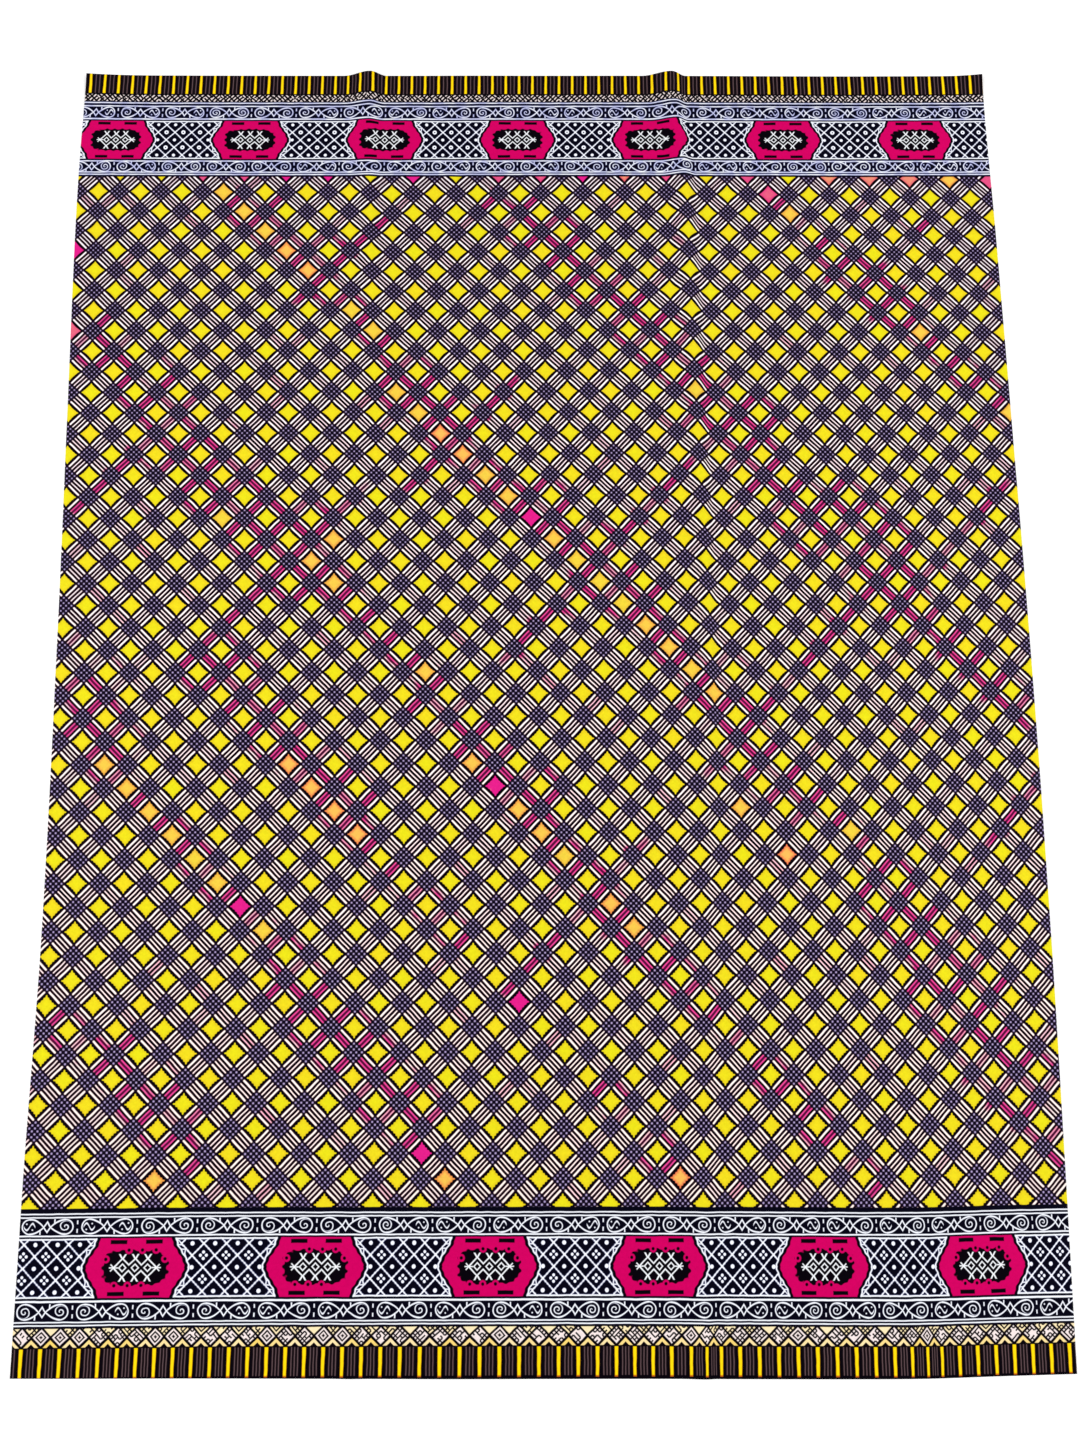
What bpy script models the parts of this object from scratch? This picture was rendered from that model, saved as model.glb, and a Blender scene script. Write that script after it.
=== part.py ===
"""A cut length of wax print cotton, spread out flat with its printed face up.

Metres, +Z up. X runs along the length that was cut off the roll, between the two
cut ends, and Y across the loom, from the lower selvedge to the upper one. The
origin is on the surface under the middle of the cloth.
"""

import bisect
import math
from collections import namedtuple

import bmesh
import bpy

NODE_NAME = "cloth_length"

# Driving sizes
CUT_LENGTH = 0.900  # between the cut ends
LOOM_WIDTH = 1.215  # from selvedge to selvedge
WALL = 0.0012  # the cloth as a solid wall

# How far the cut ends stray from straight lines at half of CUT_LENGTH
CutEnd = namedtuple("CutEnd", "share_up left_shift right_shift")
CUT_ENDS = (
    CutEnd(0.00, 0.0007, 0.0013),
    CutEnd(0.15, 0.0021, 0.0040),
    CutEnd(0.30, 0.0050, 0.0060),
    CutEnd(0.50, 0.0036, 0.0061),
    CutEnd(0.70, 0.0000, 0.0035),
    CutEnd(0.85, -0.0030, 0.0011),
    CutEnd(0.93, -0.0030, -0.0008),
    CutEnd(1.00, -0.0004, -0.0024),
)

# The same for the selvedges, from straight lines at half of LOOM_WIDTH
Selvedge = namedtuple("Selvedge", "share_across lower_shift upper_shift")
SELVEDGES = (
    Selvedge(0.00, 0.0013, -0.0008),
    Selvedge(0.20, -0.0001, -0.0012),
    Selvedge(0.40, -0.0021, -0.0012),
    Selvedge(0.60, -0.0035, -0.0011),
    Selvedge(0.84, -0.0056, -0.0017),
    Selvedge(0.93, -0.0040, -0.0015),
    Selvedge(1.00, -0.0028, -0.0012),
)

# Two creases, left from folding the cloth in three, run from the upper selvedge to
# the lower one. Each stands up at the upper selvedge and sinks to a low ridge. The
# right one is pinched: its right side is steep, and it stays up to half-way down.
Crease = namedtuple("Crease", "share_up share_across rise left_foot right_foot")
LEFT_CREASE = (
    Crease(0.00, 0.318, 0.0004, 0.018, 0.014),
    Crease(0.50, 0.318, 0.0006, 0.018, 0.014),
    Crease(0.90, 0.317, 0.0009, 0.020, 0.014),
    Crease(0.96, 0.316, 0.0030, 0.024, 0.014),
    Crease(1.00, 0.316, 0.0070, 0.027, 0.015),
)
RIGHT_CREASE = (
    Crease(0.00, 0.650, 0.0009, 0.018, 0.010),
    Crease(0.30, 0.664, 0.0013, 0.018, 0.010),
    Crease(0.52, 0.668, 0.0027, 0.018, 0.009),
    Crease(0.75, 0.668, 0.0032, 0.019, 0.009),
    Crease(0.90, 0.664, 0.0038, 0.022, 0.011),
    Crease(0.96, 0.656, 0.0050, 0.027, 0.013),
    Crease(1.00, 0.651, 0.0070, 0.029, 0.015),
)
CREASES = (LEFT_CREASE, RIGHT_CREASE)

# Corners that curl up a little
Corner = namedtuple("Corner", "share_across share_up rise reach")
CORNERS = (
    Corner(0.0, 1.0, 0.0030, 0.090),
    Corner(1.0, 1.0, 0.0030, 0.055),
)

# Spacing of the grid: wide on the flat, closer where the cloth rises
PLAIN_STEP = 0.050
FOOT_SHARES = (-1.0, -0.76, -0.52, -0.28, 0.0, 0.28, 0.52, 0.76, 1.0)
CORNER_DISTANCES = (0.008, 0.018, 0.031, 0.048)  # from each cut end
EDGE_DISTANCES = (0.008, 0.018, 0.031, 0.048, 0.070, 0.100)  # from the upper selvedge

PRINT_COLOUR = (0.36, 0.28, 0.10, 1.0)
COTTON_ROUGHNESS = 0.72


def clear_scene():
    for old in list(bpy.data.objects):
        bpy.data.objects.remove(old, do_unlink=True)


def smooth_between(rows, key, column, at):
    """Reads one column of a table at any place, on a smooth curve through its rows."""
    places = [getattr(row, key) for row in rows]
    values = [getattr(row, column) for row in rows]
    last = len(rows) - 1
    low = min(max(bisect.bisect_right(places, at) - 1, 0), last - 1)
    slopes = []
    for index in (low, low + 1):
        before, after = max(index - 1, 0), min(index + 1, last)
        slopes.append((values[after] - values[before]) / (places[after] - places[before]))
    span = places[low + 1] - places[low]
    part = (at - places[low]) / span
    rest = 1 - part
    return (
        values[low] * rest * rest * (1 + 2 * part)
        + values[low + 1] * part * part * (1 + 2 * rest)
        + slopes[0] * span * part * rest * rest
        - slopes[1] * span * part * part * rest
    )


def place_on_table(across, up):
    """Shares of the cloth to a place in its outline."""
    left = -CUT_LENGTH / 2 + smooth_between(CUT_ENDS, "share_up", "left_shift", up)
    right = CUT_LENGTH / 2 + smooth_between(CUT_ENDS, "share_up", "right_shift", up)
    lower = -LOOM_WIDTH / 2 + smooth_between(SELVEDGES, "share_across", "lower_shift", across)
    upper = LOOM_WIDTH / 2 + smooth_between(SELVEDGES, "share_across", "upper_shift", across)
    return left + (right - left) * across, lower + (upper - lower) * up


def crease_at(crease, up):
    """The crease's row for any height up the cloth."""
    columns = (smooth_between(crease, "share_up", name, up) for name in Crease._fields[1:])
    return Crease(up, *columns)


def crease_rise(crease, across, up):
    """Height of one crease: a soft bump across the cloth."""
    here = crease_at(crease, up)
    aside = (across - here.share_across) * CUT_LENGTH
    foot = here.left_foot if aside < 0 else here.right_foot
    if abs(aside) >= foot:
        return 0.0
    return here.rise * (0.5 + 0.5 * math.cos(math.pi * aside / foot))


def corner_rise(corner, across, up):
    away = math.hypot(
        (across - corner.share_across) * CUT_LENGTH,
        (up - corner.share_up) * LOOM_WIDTH,
    )
    return corner.rise * max(0.0, 1 - away / corner.reach) ** 3


def rise(across, up):
    """How far the underside stands off the surface; nothing over most of the cloth."""
    creases = sum(crease_rise(crease, across, up) for crease in CREASES)
    corners = sum(corner_rise(corner, across, up) for corner in CORNERS)
    return creases + corners


def plain_steps(places):
    """How many even steps fill each gap in a sorted list of places."""
    return [max(1, round((high - low) / PLAIN_STEP)) for low, high in zip(places, places[1:])]


def filled(places, steps):
    """The places, with even steps between them."""
    found = []
    for low, high, pieces in zip(places, places[1:], steps):
        found += [low + (high - low) * step / pieces for step in range(pieces)]
    return found + [places[-1]]


def fixed_columns(up):
    """Distances from the left cut end to the corners' and creases' own columns."""
    places = [0.0, CUT_LENGTH]
    places += CORNER_DISTANCES
    places += [CUT_LENGTH - away for away in CORNER_DISTANCES]
    for crease in CREASES:
        here = crease_at(crease, up)
        for share in FOOT_SHARES:
            foot = here.left_foot if share < 0 else here.right_foot
            places.append(here.share_across * CUT_LENGTH + share * foot)
    return sorted(places)


def columns_at(up):
    """Shares across of the grid's columns, which bend with the creases."""
    steps = plain_steps(fixed_columns(1.0))
    return [away / CUT_LENGTH for away in filled(fixed_columns(up), steps)]


def rows():
    places = sorted([0.0, LOOM_WIDTH, *(LOOM_WIDTH - away for away in EDGE_DISTANCES)])
    return [away / LOOM_WIDTH for away in filled(places, plain_steps(places))]


def cloth_underside():
    """The cloth's underside as an open grid, facing up."""
    shares_up = rows()
    shares_across = [columns_at(up) for up in shares_up]
    column_count = len(shares_across[0])
    row_count = len(shares_up)
    shape = bmesh.new()
    bmesh.ops.create_grid(
        shape, x_segments=column_count - 1, y_segments=row_count - 1, size=0.5
    )
    for vert in shape.verts:
        column = round((vert.co.x + 0.5) * (column_count - 1))
        row = round((vert.co.y + 0.5) * (row_count - 1))
        across = shares_across[row][column]
        up = shares_up[row]
        vert.co = (*place_on_table(across, up), rise(across, up))
    return shape


def centre_on_origin(shape):
    """Moves the outline's middle to the origin."""
    xs = [vert.co.x for vert in shape.verts]
    ys = [vert.co.y for vert in shape.verts]
    middle = ((min(xs) + max(xs)) / 2, (min(ys) + max(ys)) / 2, 0.0)
    bmesh.ops.translate(shape, verts=shape.verts, vec=[-value for value in middle])


def print_cotton():
    material = bpy.data.materials.new("print_cotton")
    material.use_nodes = True
    shader = material.node_tree.nodes["Principled BSDF"]
    shader.inputs["Base Color"].default_value = PRINT_COLOUR
    shader.inputs["Roughness"].default_value = COTTON_ROUGHNESS
    shader.inputs["Metallic"].default_value = 0.0
    return material


def make_cloth(collection):
    shape = cloth_underside()
    centre_on_origin(shape)
    mesh = bpy.data.meshes.new(NODE_NAME)
    shape.to_mesh(mesh)
    shape.free()
    mesh.shade_smooth()
    mesh.materials.append(print_cotton())
    cloth = bpy.data.objects.new(NODE_NAME, mesh)
    collection.objects.link(cloth)
    wall = cloth.modifiers.new("wall", "SOLIDIFY")
    wall.thickness = WALL
    wall.offset = 1.0
    wall.use_even_offset = True
    return cloth


clear_scene()
wax_print = bpy.data.collections.new("wax_print_fabric")
bpy.context.scene.collection.children.link(wax_print)
make_cloth(wax_print)
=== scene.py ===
# %% [markdown]
# A cut length of wax print cotton, lying flat with its printed face up. It has no sewing: it is
# one layer, cut off the roll at both ends, with the loom's own edges, the selvedges, along the top
# and the bottom. So a few cells shape the cloth, and most of the others draw its print.

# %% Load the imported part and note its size
import bisect
import math
from collections import namedtuple
from functools import reduce

import bmesh
import bpy
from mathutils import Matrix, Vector, noise


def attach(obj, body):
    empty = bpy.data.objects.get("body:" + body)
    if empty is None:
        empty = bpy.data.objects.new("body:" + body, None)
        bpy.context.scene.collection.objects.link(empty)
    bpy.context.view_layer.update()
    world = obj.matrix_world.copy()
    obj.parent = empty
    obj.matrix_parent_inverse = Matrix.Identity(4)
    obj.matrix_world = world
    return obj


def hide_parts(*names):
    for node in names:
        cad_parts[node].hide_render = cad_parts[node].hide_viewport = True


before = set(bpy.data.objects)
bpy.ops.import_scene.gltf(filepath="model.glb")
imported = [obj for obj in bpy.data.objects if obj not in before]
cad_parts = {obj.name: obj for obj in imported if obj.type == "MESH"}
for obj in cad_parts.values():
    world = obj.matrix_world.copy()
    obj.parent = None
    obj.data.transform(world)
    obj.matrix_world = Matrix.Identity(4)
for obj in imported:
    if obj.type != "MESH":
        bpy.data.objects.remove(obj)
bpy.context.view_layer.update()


def add_object(name, data):
    added = bpy.data.objects.new(name, data)
    bpy.context.scene.collection.objects.link(added)
    return added


# %% [markdown]
# The camera looks almost straight down, as over a table, with the lower selvedge a little nearer.
# It could be aimed with a Track To constraint, but the three angles and the place say the same
# thing in fewer parts, and they keep the cloth where the photograph has it.

# %% Put the camera over the cloth
PHOTO_LONG_SIDE = 1448
FOCAL_LENGTH_PIXELS = 1087
SENSOR = 36.0
CAMERA_TILT = Vector((8.2976, -0.4282, -0.3226))  # degrees about X, Y and Z
CAMERA_PLACE = Vector((-0.00610, -0.19589, 0.98746))  # from the middle of the straight outline

camera_data = bpy.data.cameras.new("camera")
camera_data.sensor_width = SENSOR
camera_data.lens = SENSOR * FOCAL_LENGTH_PIXELS / PHOTO_LONG_SIDE
camera = add_object("camera", camera_data)
camera.rotation_euler = [math.radians(angle) for angle in CAMERA_TILT]
bpy.context.scene.camera = camera
print("lens", round(camera_data.lens, 2))

# %% [markdown]
# The outline of the real cloth is a rectangle that was cut by hand: both ends bow by some
# millimetres, and the selvedges draw in and out. Short tables hold how far each side strays from a
# straight line, and one smooth curve runs through the rows of any table.

# %% Outline of the cloth
CUT_LENGTH = 0.900  # X, between the cut ends
LOOM_WIDTH = 1.215  # Y, from selvedge to selvedge


def rows_of(kind, *rows):
    """A table of named rows."""
    return [kind(*row) for row in rows]


CutEnd = namedtuple("CutEnd", "share_up left_shift right_shift")
CUT_ENDS = rows_of(
    CutEnd,
    (0.00, 0.0007, 0.0013),
    (0.15, 0.0021, 0.0040),
    (0.30, 0.0050, 0.0060),
    (0.50, 0.0036, 0.0061),
    (0.70, 0.0000, 0.0035),
    (0.85, -0.0030, 0.0011),
    (0.93, -0.0030, -0.0008),
    (1.00, -0.0004, -0.0024),
)
Selvedge = namedtuple("Selvedge", "share_across lower_shift upper_shift")
SELVEDGES = rows_of(
    Selvedge,
    (0.00, 0.0013, -0.0008),
    (0.20, -0.0001, -0.0012),
    (0.40, -0.0021, -0.0012),
    (0.60, -0.0035, -0.0011),
    (0.84, -0.0056, -0.0017),
    (0.93, -0.0040, -0.0015),
    (1.00, -0.0028, -0.0012),
)


def smooth_between(rows, key, column, at):
    """Reads one column of a table at any place, on a smooth curve through its rows."""
    places = [getattr(row, key) for row in rows]
    values = [getattr(row, column) for row in rows]
    last = len(rows) - 1
    low = min(max(bisect.bisect_right(places, at) - 1, 0), last - 1)
    slopes = []
    for index in (low, low + 1):
        before, after = max(index - 1, 0), min(index + 1, last)
        slopes.append((values[after] - values[before]) / (places[after] - places[before]))
    span = places[low + 1] - places[low]
    part = (at - places[low]) / span
    rest = 1 - part
    return (
        values[low] * rest * rest * (1 + 2 * part)
        + values[low + 1] * part * part * (1 + 2 * rest)
        + slopes[0] * span * part * rest * rest
        - slopes[1] * span * part * part * rest
    )


def place_on_table(across, up):
    """Shares of the cloth to a place in its outline."""
    left = -CUT_LENGTH / 2 + smooth_between(CUT_ENDS, "share_up", "left_shift", up)
    right = CUT_LENGTH / 2 + smooth_between(CUT_ENDS, "share_up", "right_shift", up)
    lower = -LOOM_WIDTH / 2 + smooth_between(SELVEDGES, "share_across", "lower_shift", across)
    upper = LOOM_WIDTH / 2 + smooth_between(SELVEDGES, "share_across", "upper_shift", across)
    return left + (right - left) * across, lower + (upper - lower) * up


print("upper left corner", place_on_table(0, 1))

# %% [markdown]
# The cloth was folded in three before it was opened. Each old fold stands up at the upper
# selvedge and sinks to a faint ridge further down, and the right one is pinched, so that its right
# side is steep. A cloth simulation would smooth such creases away or put them somewhere else, so
# they are placed one by one: a soft bump across the cloth, with a row of the table for each height.

# %% Creases and corners
Crease = namedtuple("Crease", "share_up share_across rise left_foot right_foot")
LEFT_CREASE = rows_of(
    Crease,
    (0.00, 0.318, 0.0004, 0.018, 0.014),
    (0.50, 0.318, 0.0006, 0.018, 0.014),
    (0.90, 0.317, 0.0009, 0.020, 0.014),
    (0.96, 0.316, 0.0030, 0.024, 0.014),
    (1.00, 0.316, 0.0070, 0.027, 0.015),
)
RIGHT_CREASE = rows_of(
    Crease,
    (0.00, 0.650, 0.0009, 0.018, 0.010),
    (0.30, 0.664, 0.0013, 0.018, 0.010),
    (0.52, 0.668, 0.0027, 0.018, 0.009),
    (0.75, 0.668, 0.0032, 0.019, 0.009),
    (0.90, 0.664, 0.0038, 0.022, 0.011),
    (0.96, 0.656, 0.0050, 0.027, 0.013),
    (1.00, 0.651, 0.0070, 0.029, 0.015),
)
CREASES = (LEFT_CREASE, RIGHT_CREASE)

Corner = namedtuple("Corner", "share_across share_up rise reach")
CORNERS = rows_of(
    Corner,
    (0.0, 1.0, 0.0030, 0.090),
    (1.0, 1.0, 0.0030, 0.055),
)

RIPPLE_HEIGHT = 0.0004  # what ironing leaves
RIPPLE_LENGTH = 0.110


def crease_at(crease, up):
    """The crease's row for any height up the cloth."""
    columns = (smooth_between(crease, "share_up", name, up) for name in Crease._fields[1:])
    return Crease(up, *columns)


def crease_rise(crease, across, up):
    """Height of one crease: a soft bump across the cloth."""
    here = crease_at(crease, up)
    aside = (across - here.share_across) * CUT_LENGTH
    foot = here.left_foot if aside < 0 else here.right_foot
    if abs(aside) >= foot:
        return 0.0
    return here.rise * (0.5 + 0.5 * math.cos(math.pi * aside / foot))


def corner_rise(corner, across, up):
    away = math.hypot(
        (across - corner.share_across) * CUT_LENGTH,
        (up - corner.share_up) * LOOM_WIDTH,
    )
    return corner.rise * max(0.0, 1 - away / corner.reach) ** 3


def rise(across, up):
    """How far the underside stands off the surface."""
    creases = sum(crease_rise(crease, across, up) for crease in CREASES)
    corners = sum(corner_rise(corner, across, up) for corner in CORNERS)
    place = Vector((across * CUT_LENGTH, up * LOOM_WIDTH, 0.0)) / RIPPLE_LENGTH
    ripple = RIPPLE_HEIGHT * max(0.0, noise.noise(place))
    return creases + corners + ripple


print("left crease at the selvedge", round(rise(0.316, 1.0), 4))

# %% [markdown]
# The grid of the cloth is a plain one that was squeezed: its columns bend with the creases and
# crowd where the cloth turns, and its rows crowd at the selvedges. An even grid would need many
# times the triangles for the same creases.

# %% Rows and columns of the grid
PLAIN_STEP = 0.0075
FOOT_SHARES = [step / 8 for step in range(-8, 9)]
END_DISTANCES = (0.0015, 0.003, 0.006, 0.011, 0.018, 0.031, 0.048)  # from each cut end
EDGE_DISTANCES = (0.0015, 0.004, 0.008, 0.013, 0.018, 0.024, 0.031, 0.039, 0.048)


def filled(places, steps):
    """The places, with even steps between them."""
    found = []
    for low, high, pieces in zip(places, places[1:], steps):
        found += [low + (high - low) * step / pieces for step in range(pieces)]
    return found + [places[-1]]


def plain_steps(places):
    return [max(1, round((high - low) / PLAIN_STEP)) for low, high in zip(places, places[1:])]


def fixed_columns(up):
    """Distances from the left cut end to the columns that creases and ends ask for."""
    places = [0.0, CUT_LENGTH]
    places += END_DISTANCES
    places += [CUT_LENGTH - away for away in END_DISTANCES]
    for crease in CREASES:
        here = crease_at(crease, up)
        for share in FOOT_SHARES:
            foot = here.left_foot if share < 0 else here.right_foot
            places.append(here.share_across * CUT_LENGTH + share * foot)
    return sorted(places)


COLUMN_STEPS = plain_steps(fixed_columns(1.0))


def columns_at(up):
    return [away / CUT_LENGTH for away in filled(fixed_columns(up), COLUMN_STEPS)]


edge_places = [*EDGE_DISTANCES, *(LOOM_WIDTH - away for away in EDGE_DISTANCES)]
row_places = sorted([0.0, LOOM_WIDTH, *edge_places])
ROWS_UP = [away / LOOM_WIDTH for away in filled(row_places, plain_steps(row_places))]
SHARES = [[(across, up) for across in columns_at(up)] for up in ROWS_UP]
print("grid", len(SHARES[0]), "by", len(SHARES))

# %% [markdown]
# The print was laid on the cloth by rollers, so it follows the threads, not the table. Its field is
# a net of squares on their corners, counted half a square at a time. It would be even but for the
# way the cloth was pulled and pressed, so two small tables say how many millimetres the net drifts.
# A picture of the print could be wrapped on instead, but then it would be as coarse as its pixels.

# %% Chart of the field's squares
HALF_STEPS_ACROSS = (-21.1, 23.0)  # at the left and at the right cut end
HALF_STEPS_UP = (-21.6, 36.2)  # at the lower and at the upper selvedge
HALF_STEP = 20.6  # mm
Drift = namedtuple("Drift", "share_up left_end left middle right right_end")
DRIFT_ACROSS = rows_of(
    Drift,
    (0.00, -0.1, -10.4, -10.9, -6.5, -4.8),
    (0.25, -5.2, -11.1, -13.9, -12.1, -1.0),
    (0.50, -2.3, -7.3, -11.4, -9.2, 0.2),
    (0.75, 2.3, -2.0, -3.5, -3.8, 0.7),
    (1.00, 2.4, 5.9, -2.8, -5.1, 0.8),
)
DRIFT_UP = rows_of(
    Drift,
    (0.00, 4.1, 0.3, 1.1, -0.6, -2.0),
    (0.25, 1.1, -1.2, -2.7, -4.3, -4.2),
    (0.50, -2.6, -3.4, -5.4, -7.5, -7.9),
    (0.75, -2.3, -3.5, -4.5, -6.2, -4.6),
    (1.00, -1.5, 1.2, -0.3, -0.7, 9.0),
)
# Past a crease the print lags by a fraction of a half step
Lag = namedtuple("Lag", "share_up left_up right_up")
CREASE_LAGS = rows_of(
    Lag,
    (0.00, 0.000, 0.000),
    (0.38, 0.000, 0.000),
    (0.47, 0.010, 0.071),
    (0.60, 0.038, 0.114),
    (0.75, 0.052, 0.105),
    (0.87, 0.100, 0.095),
    (1.00, 0.100, 0.095),
)
RIGHT_LAG_ACROSS = 0.073
LAG_REACH = 0.012
Mark = namedtuple("Mark", "share_across number")


def number_at(marks, across):
    return smooth_between(marks, "share_across", "number", across)


def half_steps(ends, drifts, across, up, share):
    """An even count from end to end, with the drift read across its table's columns."""
    columns = Drift._fields[1:]
    marks = [
        Mark(index / (len(columns) - 1), smooth_between(drifts, "share_up", name, up))
        for index, name in enumerate(columns)
    ]
    return ends[0] + (ends[1] - ends[0]) * share + number_at(marks, across) / HALF_STEP


def past(crease, across, up):
    """From -0.5 on a crease's left side to 0.5 on its right side."""
    aside = (across - crease_at(crease, up).share_across) * CUT_LENGTH
    return 0.5 * math.sin(math.pi / 2 * max(-1.0, min(1.0, aside / LAG_REACH)))


def squares_at(across, up):
    """The place in the field, counted in squares along its two slanting directions."""
    lags = [smooth_between(CREASE_LAGS, "share_up", name, up) for name in ("left_up", "right_up")]
    past_left, past_right = (past(crease, across, up) for crease in CREASES)
    steps_across = half_steps(HALF_STEPS_ACROSS, DRIFT_ACROSS, across, up, across)
    steps_across += RIGHT_LAG_ACROSS * past_right
    steps_up = half_steps(HALF_STEPS_UP, DRIFT_UP, across, up, up)
    steps_up += lags[0] * past_left + lags[1] * past_right
    return (steps_across - steps_up) / 2, (steps_across + steps_up) / 2


print("squares at the middle", squares_at(0.5, 0.5))

# %% [markdown]
# Pink was printed last, over the finished squares, and it came through only along slanting chains
# that cross the cloth, with branches between them. Each run of a chain is one row of a table: the
# line of squares it keeps to, where it starts and ends, and how strong it is. Painting every
# ribbon by hand would take six hundred entries, and pure chance would scatter the chains.

# %% Chart of the pink chains
Run = namedtuple("Run", "line start end share", defaults=[1.0])
# Line is b, and the run goes along a
RISING_RUNS = rows_of(
    Run,
    (24, -10.5, -8.5), (24, -5.5, -4.5, 0.8), (21.5, -5.0, -3.0, 0.9), (20.5, -6.0, -3.0, 0.9),
    (21, -8.5, 1.5), (15, -14.5, -3.5), (15, -0.5, 3.5), (14.5, -8.0, -6.0, 0.9),
    (14, -15.5, 8.5), (13, -5.5, 4.5), (13.5, 5.5, 9.0, 0.8), (9, -20.5, -17.5, 0.8),
    (8, -21.5, -10.5), (8, -7.5, -2.5, 0.9), (8, 0.5, 2.5, 0.8), (7, -13.5, 13.5),
    (6, -4.5, -3.5, 0.8), (6, 0.5, 5.5, 0.6), (6, 8.5, 16.5), (5, 11.5, 17.5),
    (4.5, 14.0, 19.0, 0.7), (2, -22.5, -9.5, 0.65), (1, -21.5, -0.5), (0, -17.5, -10.5),
    (0, -5.5, 14.5), (-0.5, 3.0, 5.0, 0.8), (-3, -11.5, -4.5), (-4, -11.5, 0.5),
    (-4, 6.5, 9.5, 0.9), (-6, -14.5, -12.5, 0.8), (-7, -13.5, -10.5, 0.9), (-8, -12.5, 3.5),
    (-9, -2.5, 3.5), (-13, -4.5, -1.5, 0.8), (-14, -6.5, -0.5),
)
# Line is a, and the run goes along b
BRANCHES = rows_of(
    Run,
    (-17.5, 7.0, 11.0, 0.9), (-17.5, -3.0, 0.0, 0.9), (-10.5, 5.0, 10.0, 0.9),
    (-10.0, 16.0, 18.0, 0.8), (-11.5, -2.0, 4.0, 0.9), (-4.5, 3.0, 12.0, 0.9),
    (2.5, 5.0, 13.0, 0.9), (2.5, -4.0, 2.0, 0.9), (3.5, 15.0, 19.0, 0.8), (10.5, 10.0, 15.0, 0.7),
)
# Whole diamonds, in lines like the rising runs
ORANGE_RUNS = rows_of(
    Run,
    (8, -22, -22, 0.5), (8, -21, -18, 0.85), (8, -16, -15, 0.45), (7, -13, -12, 0.5),
    (7, -11, -9), (7, -8, 1, 0.6), (7, 7, 7, 0.6), (1, -11, -10), (1, -6, -6, 0.6),
    (0, -14, -14, 0.7), (0, -3, 1, 0.7), (0, 3, 4, 0.8), (-4, -7, -4, 0.9), (-4, 10, 10),
    (-8, -11, -4, 0.6), (21, -8, -8, 0.6), (21, -2, -2, 0.6), (21, 2, 2, 0.9), (5, 6, 6),
    (5, 4, 4, 0.8), (14, -6, -6, 0.8), (2, -11, -11, 0.8), (-9, 5, 5, 0.8), (-15, -1, -1, 0.8),
)
Square = namedtuple("Square", "a b orange magenta")
TINTED_SQUARES = rows_of(
    Square,
    (-9, 21, 1, 0.8), (-7, 7, 0, 1), (-2, 0, 0, 1), (3, -4, 0, 1), (-5, -8, 0, 1), (4, -9, 0, 1),
    # The top row, where the border cuts through the diamonds
    (-23, 8, 0, 0.9), (-22, 9, 0.4, 0.9), (-21, 10, 0, 1), (-20, 11, 0.3, 1), (-18, 13, 0, 1),
    (-16, 15, 0, 0.9), (-15, 16, 1, 0.8), (-14, 17, 0, 1), (-13, 18, 1, 0.4), (-12, 19, 1, 0.8),
    (-10, 21, 0.3, 0.9), (-8, 23, 1, 0.45), (-7, 24, 1, 0.55), (-6, 25, 1, 0.55),
    (-5, 26, 0.7, 0),
    # Cut by the left and right ends
    (-24, 3, 0.3, 1), (-22, 1, 0.5, 0.8), (-4, 27, 0.3, 0.9),
)


def fade(distance, full, none):
    part = max(0.0, min(1.0, (none - distance) / (none - full)))
    return part * part * (3 - 2 * part)


def along_runs(runs, line, place, full, none):
    """How strongly the runs reach this place, all added up."""
    return sum(
        run.share
        * fade(abs(line - run.line), full, none)
        * fade(max(run.start - place, place - run.end), 0.1, 0.5)
        for run in runs
    )


def inks_at(a, b):
    """Shares of pink on the ribbons, and of orange and magenta on the nearest diamond."""
    pink = along_runs(RISING_RUNS, b, a, 0.3, 0.7) + along_runs(BRANCHES, a, b, 0.2, 0.45)
    square_a, square_b = round(a), round(b)
    orange = along_runs(ORANGE_RUNS, square_b, square_a, 0.1, 0.5)
    magenta = 0.0
    for square in TINTED_SQUARES:
        if (square.a, square.b) == (square_a, square_b):
            orange, magenta = square.orange, square.magenta
    return min(pink, 1.0), min(orange, 1.0), magenta


print("inks on a chain", inks_at(0.5, 7))

# %% [markdown]
# The borders are measured in another way. Their lines run beside the selvedges, so one number is
# the distance from the selvedge, and two more count the upright stripes and the medallions, which
# the printer stretched a little here and there.

# %% Charts of the borders' repeats
UPPER_STRIPES = rows_of(
    Mark,
    (0.0, -0.36), (0.1422, 9), (0.2621, 17), (0.3191, 21), (0.3617, 24), (0.4367, 29),
    (0.6297, 42), (0.6447, 43), (0.6583, 44), (0.6707, 45), (0.6854, 46), (0.8207, 55),
    (1.0, 66.91),
)
LOWER_STRIPES = rows_of(
    Mark,
    (0.0, -0.48), (0.0984, 5), (0.1853, 10), (0.3449, 19), (0.4380, 24), (0.5489, 30),
    (0.6186, 34), (0.6371, 35), (0.6517, 36), (0.6651, 37), (0.6831, 38), (0.8291, 46),
    (0.8455, 47), (0.8601, 48), (0.8732, 49), (0.8900, 50), (1.0, 56.33),
)
UPPER_MEDALLIONS = rows_of(
    Mark,
    (0.0, -0.26), (0.0379, 0), (0.1852, 1), (0.3335, 2), (0.4797, 3), (0.6264, 4), (0.7736, 5),
    (0.9203, 6), (1.0, 6.56),
)
LOWER_MEDALLIONS = rows_of(
    Mark,
    (0.0, -0.655), (0.1110, 0), (0.2815, 1), (0.4462, 2), (0.6078, 3), (0.7649, 4), (0.9152, 5),
    (1.0, 5.565),
)
LOWER_BELLY = 2.8  # mm that the lower border's lines stand off the selvedge, at most
BELLY_MIDDLE = 0.6


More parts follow.
